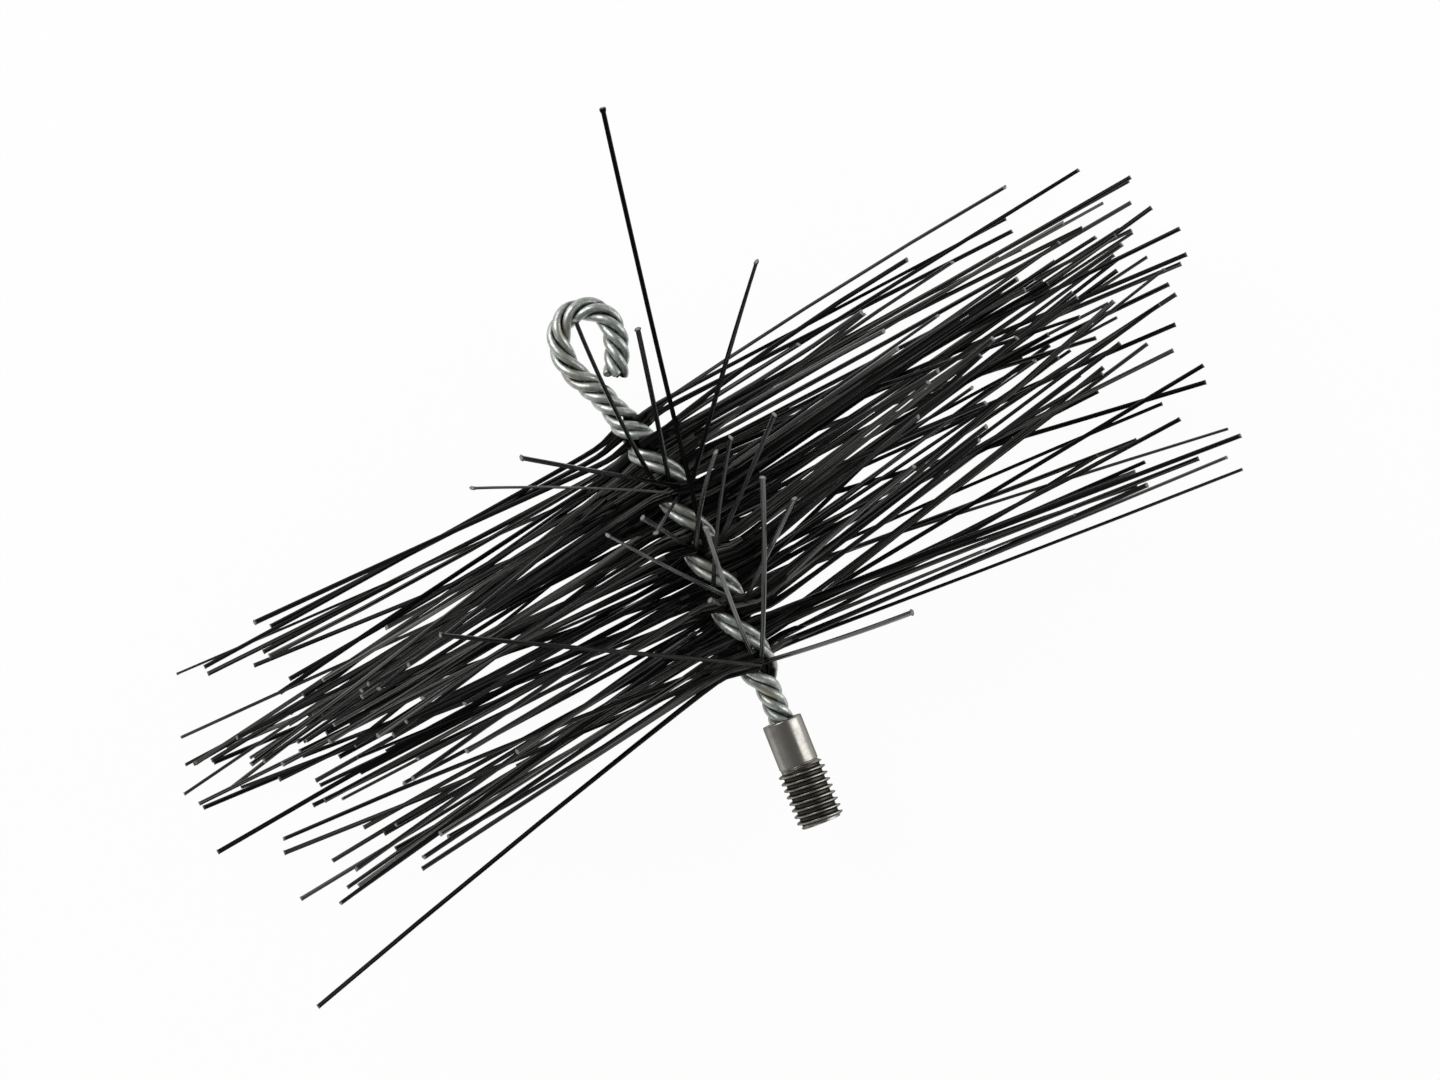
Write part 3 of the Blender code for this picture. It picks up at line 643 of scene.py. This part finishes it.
ferrule = {
    "threadDiameter": 12.0,
    "pitch": 1.75,
    "threadLength": 15.4,  # with its run-out over the neck
    "threadDepth": 1.08,
    "crestShare": 0.15,  # of a pitch, flat at the crest
    "rootShare": 0.30,  # of a pitch, round at the root
    "flankPower": 1.8,  # 1 leaves the crest sharp, 2 makes it as round as the root
    "endChamfer": 1.0,
    "endFace": 0.3,  # share of the chamfer by which the end face is narrower than the root
    "runOut": 1.0,
    "neckDiameter": 9.7,
    "neckLength": 0.2,
    "sleeveDiameter": 10.2,
    "sleeveLength": 11.8,
    "sleeveRings": 9,
    "ringMargin": 1.0,  # from the sleeve's edges to the first and last of these rings
    "edgeRound": 0.45,
    "shoulderRound": 0.225,
    "rimRound": 0.27,
    "socketDiameter": 7.2,
    "socketDepth": 10.4,
    "socketPoint": 118.0,
    "axisRadius": 0.01,  # the rings next to the axis, which the fans close
    "sides": 120,
    "stepsPerPitch": 24,
    # dark colour at the bottom of the thread, partly dirt and partly painted shade, how steeply it
    # falls towards the crest, and how far the painted shade in the socket comes out over its rim
    "dirtAndShade": 1.2,
    "dirtAndShadePower": 2.0,
    "rimShade": 0.25,
}


def threadRadius(height, theta):
    # crest radius less the depth times sin(part of the flank * 90 degrees)^power, by the
    # distance from the crest, where the crest climbs one pitch a turn, right-handed
    share = np.mod(height / ferrule["pitch"] + theta / fullTurn, 1.0)
    distance = np.abs(share - 0.5)
    flank = 0.5 - ferrule["crestShare"] / 2.0 - ferrule["rootShare"] / 2.0
    part = np.clip((distance - ferrule["crestShare"] / 2.0) / flank, 0.0, 1.0)
    part = np.sin(part * quarterTurn) ** ferrule["flankPower"]
    return ferrule["threadDiameter"] / 2.0 - ferrule["threadDepth"] * part


def roundCorner(corner, before, after, radius, steps=5):
    # points of the curve (1 - t)^2 start + 2 t (1 - t) corner + t^2 end that rounds a corner
    corner, before, after = (np.array(point) for point in (corner, before, after))
    start = corner + unit(before - corner) * radius
    end = corner + unit(after - corner) * radius
    share = np.linspace(0.0, 1.0, steps)[:, None]
    return (1.0 - share) ** 2 * start + 2.0 * share * (1.0 - share) * corner + share ** 2 * end


def buildFerrule():
    # a profile of radius and height turned round +Y; in the threaded stretch the radius also
    # depends on the angle
    sides = ferrule["sides"]
    axis = ferrule["axisRadius"]
    major = ferrule["threadDiameter"] / 2.0
    root = major - ferrule["threadDepth"]
    inner = root - ferrule["endChamfer"] * ferrule["endFace"]
    neck = ferrule["neckDiameter"] / 2.0
    sleeve = ferrule["sleeveDiameter"] / 2.0
    socket = ferrule["socketDiameter"] / 2.0
    threadEnd = ferrule["threadLength"]
    sleeveStart = threadEnd + ferrule["neckLength"]
    rim = sleeveStart + ferrule["sleeveLength"]
    socketFloor = rim - ferrule["socketDepth"]
    socketEnd = socketFloor - socket / math.tan(math.radians(ferrule["socketPoint"] / 2.0))
    margin = ferrule["ringMargin"]
    steps = round(threadEnd / ferrule["pitch"] * ferrule["stepsPerPitch"])
    threadHeights = np.linspace(0.0, threadEnd, steps + 1)
    endFace = [(axis, 0.0), (inner * 0.5, 0.0), (inner, 0.0)]
    profile = np.concatenate([
        endFace,
        np.stack([np.full(steps + 1, major), threadHeights], axis=-1),
        [(neck, threadEnd + ferrule["neckLength"] / 2.0)],
        roundCorner((sleeve, sleeveStart), (neck, sleeveStart), (sleeve, rim),
                    ferrule["shoulderRound"]),
        [(sleeve, height) for height in
         np.linspace(sleeveStart + margin, rim - margin, ferrule["sleeveRings"])],
        roundCorner((sleeve, rim), (sleeve, sleeveStart), (socket, rim), ferrule["edgeRound"]),
        roundCorner((socket, rim), (sleeve, rim), (socket, socketFloor), ferrule["rimRound"]),
        [(socket, socketFloor), (axis, socketEnd)],
    ])
    theta = np.linspace(0.0, fullTurn, sides, endpoint=False)
    radii = np.repeat(profile[:, :1], sides, axis=1)
    heights = np.repeat(profile[:, 1:], sides, axis=1)
    threaded = slice(len(endFace), len(endFace) + len(threadHeights))
    cut = threadRadius(threadHeights[:, None], theta[None, :])
    # the chamfer at the end and the run-out at the neck cut the crests down
    chamfer = major - ferrule["endChamfer"] + threadHeights
    runOut = neck + (threadEnd - threadHeights) * (major - neck) / ferrule["runOut"]
    lowered = np.minimum(chamfer, runOut)[:, None]
    cut = np.minimum(cut, lowered)
    radii[threaded] = cut
    points = np.stack([radii * np.cos(theta), heights, -radii * np.sin(theta)], axis=-1)
    ends = np.array([(0.0, 0.0, 0.0), (0.0, socketEnd, 0.0)])
    points = np.concatenate([points.reshape(-1, 3), ends])
    # dirt and painted shade by depth below the crest, and painted shade all over the socket
    depth = np.clip((np.minimum(major, lowered) - cut) / ferrule["threadDepth"], 0.0, 1.0)
    groove = np.zeros_like(radii)
    groove[threaded] = ferrule["dirtAndShade"] * depth ** ferrule["dirtAndShadePower"]
    groove[(radii <= socket + ferrule["rimShade"]) & (heights >= socketEnd)] = 1.0
    groove = np.concatenate([groove.ravel(), [0.0, 1.0]])
    uvs = sweepMaps(runningLength(profile)[None], sides)
    addPiece("steel_ferrule", points, tubeFaces(1, len(profile), sides), uvs, {"groove": groove},
             "turned_steel", ["threaded_ferrule"])


buildFerrule()
print("ferrule turned and threaded")

bristle = {
    "width": 1.2,
    "thickness": 0.7,
    "sides": 6,
    "turnLength": 2.5,  # how soon a bristle turns from the bundle's direction to its own
    # by bundle: how much longer it is along the stem than the CAD's, in the grip and where it
    # fans out, and how far it lies along from the CAD's
    "gripSpread": (2.1, 1.9, 1.9, 1.6, 1.0),
    "rootSpread": (1.75, 1.6, 1.6, 1.45, 1.0),
    "settle": (-0.7, 0.0, 0.0, -0.9, 0.0),
    "rowShift": 0.7,  # how far the upper and lower rows lie along from the middle one
    "rootJitter": 0.25,
    "leastHeight": 0.1,  # a bundle flatter than this counts as one row
    "tangle": 0.09,  # how far a bristle may leave the order of its bundle, as a slope
    "bow": 0.8,  # usual bend in the middle of a bristle
    "gripReach": 5.0,
    "gripThicken": 1.5,  # how much thicker the bundle is where the CAD's bristles start
    # size of the first sections, where real bristles are pressed together and close the gaps
    "pressed": (2.1, 1.75, 1.3, 1.2, 1.18, 1.14, 1.07),
    "cutEnd": ((0.5, 1.0), (0.0, 1.15)),  # distance from the tip, and size there
    "stations": (0.025, 0.06, 0.12, 0.22, 0.45, 0.75),  # shares of a bristle's length
    # usual angle at which a bristle lies on its side once it is out of the grip, over how many
    # of its rings it rolls there and after what share of these, and its twist at the tip
    "roll": 22.0,
    "rollRings": 3.0,
    "rollStart": 0.6,
    "twist": 35.0,
    # most are black, and a few are grey with brighter painted highlight lines:
    # least + more * random^power
    "leastGreyAndSheen": 0.04,
    "moreGreyAndSheen": 0.90,
    "greyAndSheenPower": 3,
    "cutRim": 0.6,  # how pale the edge of the cut end is, against its middle
    "mapShift": 20000.0,  # so that no two bristles show the same streaks
    "farFromStem": 40.0,  # the CAD bundle's corners beyond this are at its tips
    "mergeRounds": 12,
}


def cadPoints(node):
    # corners of a CAD node, each once, and its triangles as numbers of these
    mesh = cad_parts[node].data
    points = np.empty(len(mesh.vertices) * 3)
    mesh.vertices.foreach_get("co", points)
    mesh.calc_loop_triangles()
    triangles = np.empty(len(mesh.loop_triangles) * 3, dtype=int)
    mesh.loop_triangles.foreach_get("vertices", triangles)
    points = np.round(points.reshape(-1, 3) / mm, 3)
    points, index = np.unique(points, axis=0, return_inverse=True)
    return points, index.ravel()[triangles].reshape(-1, 3)


def nearestPlace(points):
    # place along the stem nearest to each point, and how far off the point is
    along = line["along"][::stem["searchEvery"]]
    apart = np.linalg.norm(points[:, None] - stemCentre(along)[None], axis=2)
    nearest = np.argmin(apart, axis=1)
    return along[nearest], apart[np.arange(len(points)), nearest]


def cadBristles(node):
    # root and tip of each bristle of a CAD bundle: its corners far from the stem hang together,
    # and the triangles along it lead to its corners at the root
    points, triangles = cadPoints(node)
    far = nearestPlace(points)[1] > bristle["farFromStem"]
    edges = np.concatenate([triangles[:, [0, 1]], triangles[:, [1, 2]], triangles[:, [2, 0]]])
    label = np.arange(len(points))
    outer = edges[far[edges].all(axis=1)]
    for step in range(bristle["mergeRounds"]):
        np.minimum.at(label, outer[:, 0], label[outer[:, 1]])
        np.minimum.at(label, outer[:, 1], label[outer[:, 0]])
    crossing = edges[far[edges[:, 0]] & ~far[edges[:, 1]]]
    names = np.unique(label[far])
    tips = np.array([points[far & (label == name)].mean(axis=0) for name in names])
    roots = np.array([points[np.unique(crossing[label[crossing[:, 0]] == name, 1])].mean(axis=0)
                      for name in names])
    return roots, tips


def gripFrame(place, middle):
    # the way out between the wires and the direction through the bundle's thickness, both
    # turned with the twist from the bundle's middle on
    angle = fullTurn * (read("turns", place) - read("turns", middle))
    return turned(place, angle), turned(place, angle + quarterTurn)


def inOrder(place, slope, side):
    # which root each tip belongs to, so that on either side the bristles lie about as they point
    order = np.arange(len(place))
    slope = slope + bristle["tangle"] * random.normal(size=len(slope))
    for sign in (1, -1):
        chosen = np.flatnonzero(side[:, 0] == sign)
        order[chosen[np.argsort(slope[chosen])]] = chosen[np.argsort(place[chosen])]
    return order


def bristlePaths(bundle, roots, tips):
    # The roots and tips of the CAD bundle, joined in the order in which they lie. Between the
    # wires a bristle lies square to the stem, turned with the twist. Then
    # X(s) = root + d s + (o - d) b ((1 - exp(-s / b)) - s / L) turns from the bundle's
    # direction o to its own d within a few b, plus a bow 4 h t (1 - t) square to it, t = s / L,
    # and a shift along the stem that fades as 1 - t, so that the rows cover each other's gaps.
    count = len(roots)
    place = nearestPlace(roots)[0]
    tufts = np.array(line["tufts"])
    middle = tufts[np.argmin(np.abs(place[:, None] - tufts[None]), axis=1)]
    outward, lift = gripFrame(place, middle)
    side = np.sign(dot(roots - stemCentre(place), outward))
    outward = outward * side
    height = dot(roots - stemCentre(place), lift) / bristle["gripThicken"]
    row = height / max(np.abs(height).max(), bristle["leastHeight"])
    # each tip's slope from the middle of its bundle, and the root that it takes by that
    ahead = stemWay(middle)
    aside = dot(tips - stemCentre(middle), np.cross(ahead, up))[:, 0]
    slope = dot(tips - stemCentre(middle), ahead)[:, 0] / np.abs(aside)
    order = inOrder(place + bristle["rowShift"] * row[:, 0], slope, side)
    place, roots, outward, lift, height, row = (
        values[order] for values in (place, roots, outward, lift, height, row))
    # where it lies in the grip, and how far its root is shifted along the stem
    shift = bristle["rowShift"] * row + bristle["rootJitter"] * random.normal(size=(count, 1))
    shift = shift + bristle["settle"][bundle - 1]
    spread = middle + (place - middle) * bristle["gripSpread"][bundle - 1] + shift[:, 0]
    shift = shift + (place - middle)[:, None] * (bristle["rootSpread"][bundle - 1] - 1.0)
    outwardInside, liftInside = gripFrame(spread, middle)
    core = stemCentre(spread) + liftInside * height
    grip = core + outwardInside * side * bristle["gripReach"]
    # its free part
    apart = tips - roots
    length = np.linalg.norm(apart, axis=1, keepdims=True)
    direction = apart / length
    ends = 1.0 - np.array([distance for distance, size in bristle["cutEnd"]]) / length
    shares = np.concatenate([np.repeat([bristle["stations"]], count, axis=0), ends], axis=1)
    shares = shares[..., None]
    s = shares * length[:, None]
    b = bristle["turnLength"]
    bowSide = unit(np.cross(direction, random.normal(size=(count, 3))))
    bow = (bristle["bow"] * random.normal(size=(count, 1)) * bowSide)[:, None, :]
    fade = (1.0 - np.exp(-s / b)) - shares
    shift = (shift * stemWay(place))[:, None, :]
    bent = (4.0 * bow * shares + shift) * (1.0 - shares)
    turning = (outward - direction)[:, None] * b * fade
    free = roots[:, None] + direction[:, None] * s + turning + bent
    centres = np.concatenate([core[:, None], grip[:, None], roots[:, None] + shift, free], axis=1)
    return centres, lift


def buildBristles(name, centres, thicknessSide, stands, greyAndSheen, cutEnd, pressed=()):
    # a flat oval section carried along each path: width along the stem, rolled to one side
    # where it leaves the grip and turned by a twist that grows with the length, and never
    # below the floor
    count, rings = centres.shape[:2]
    sides = bristle["sides"]
    tangent = unit(np.gradient(centres, axis=1))
    thicknessSide = thicknessSide[:, None, :]
    above = unit(thicknessSide - tangent * dot(tangent, thicknessSide))
    beside = np.cross(above, tangent)
    share = np.linspace(0.0, 1.0, rings)
    rolled = np.clip(share * rings / bristle["rollRings"] - bristle["rollStart"], 0.0, 1.0)
    roll = bristle["roll"] * random.normal(size=(count, 1)) * rolled
    twist = np.radians(roll + bristle["twist"] * random.normal(size=(count, 1)) * share ** 2)
    cos, sin = np.cos(twist)[..., None], np.sin(twist)[..., None]
    beside, above = beside * cos + above * sin, above * cos - beside * sin
    sizes = np.ones((count, rings))
    sizes[:, :len(pressed)] = pressed
    sizes[:, -len(cutEnd):] = [size for distance, size in cutEnd]
    section = ovalSection(sides, bristle["width"], bristle["thickness"])
    points = sweep(centres, beside, above, section, sizes)
    points[..., 2] = np.maximum(points[..., 2], cadBox[0][2] / mm)
    lengths = runningLength(centres) + bristle["mapShift"] * random.random((count, 1))
    cut = np.zeros((count, rings * sides + 2))
    cut[:, -1] = 1.0
    cut[:, (rings - 1) * sides:rings * sides] = bristle["cutRim"]
    greyAndSheen = np.repeat(np.reshape(greyAndSheen, (count, 1)), rings * sides + 2, axis=1)
    addPiece(name, points.reshape(-1, 3), tubeFaces(count, rings, sides),
             sweepMaps(lengths, sides), {"cut": cut.ravel(), "greyAndSheen": greyAndSheen.ravel()},
             "black_plastic", stands, smooth=False)


for number in range(1, len(line["tufts"]) + 1):
    roots, tips = cadBristles(f"bristle_tuft_{number}")
    centres, lift = bristlePaths(number, roots, tips)
    greyAndSheen = random.random(len(roots)) ** bristle["greyAndSheenPower"]
    greyAndSheen = bristle["leastGreyAndSheen"] + bristle["moreGreyAndSheen"] * greyAndSheen
    buildBristles(f"bristles_{number}", centres, lift, [f"bristle_tuft_{number}"], greyAndSheen,
                  bristle["cutEnd"], bristle["pressed"])
    print("bundle", number, "has", len(roots), "bristle ends")

stray = {
    "bow": 0.7,
    "mostBow": 1.5,  # as a share of the usual one
    "rings": 12,
    "tailHidden": 0.45,  # share of the tail left off, so that its end stays between the wires
    "cutEnd": ((1.4, 1.0), (0.9, 1.35), (0.25, 1.4), (0.0, 1.1)),  # crushed to a small knob
    # how grey each one is and how bright its painted highlight lines are, from black at 0
    "greyAndSheens": (0.8, 0.75, 0.9, 0.25, 0.1, 0.1, 0.5, 0.45, 0.1, 0.3, 0.02, 0.35, 0.15,
               0.02, 0.02, 1.0, 0.02, 0.03),
    "onEdge": (16,),  # the ones whose narrow side faces up
}


def buildStrays():
    # each single bristle follows its CAD strip, which has three sections of four corners: tail,
    # way out between the wires and tip, with a bow 4 h t (1 - t) in its free part
    for number, greyAndSheen in enumerate(stray["greyAndSheens"], start=1):
        node = f"stray_bristle_{number:02d}"
        points = cadPoints(node)[0]
        points = points[np.argsort(points[:, 2])]
        tail, out, tip = points.reshape(3, 4, 3).mean(axis=1)
        tail = tail + stray["tailHidden"] * (out - tail)
        t = np.linspace(0.0, 1.0, stray["rings"])[1:, None]
        side = unit(np.cross(tip - out, random.normal(size=3)))
        bow = np.clip(random.normal(), -stray["mostBow"], stray["mostBow"]) * stray["bow"]
        free = out + (tip - out) * t + side * bow * 4.0 * t * (1.0 - t)
        knob = [tip - unit(tip - out) * distance for distance, size in stray["cutEnd"]]
        centres = np.concatenate([[tail, out], free[:-1], knob])[None]
        facing = unit(np.cross(tip - out, up)) if number in stray["onEdge"] else up
        buildBristles(f"single_bristle_{number:02d}", centres, facing[None], [node], greyAndSheen,
                      stray["cutEnd"])


buildStrays()
print("single bristles placed")

bpy.context.view_layer.update()
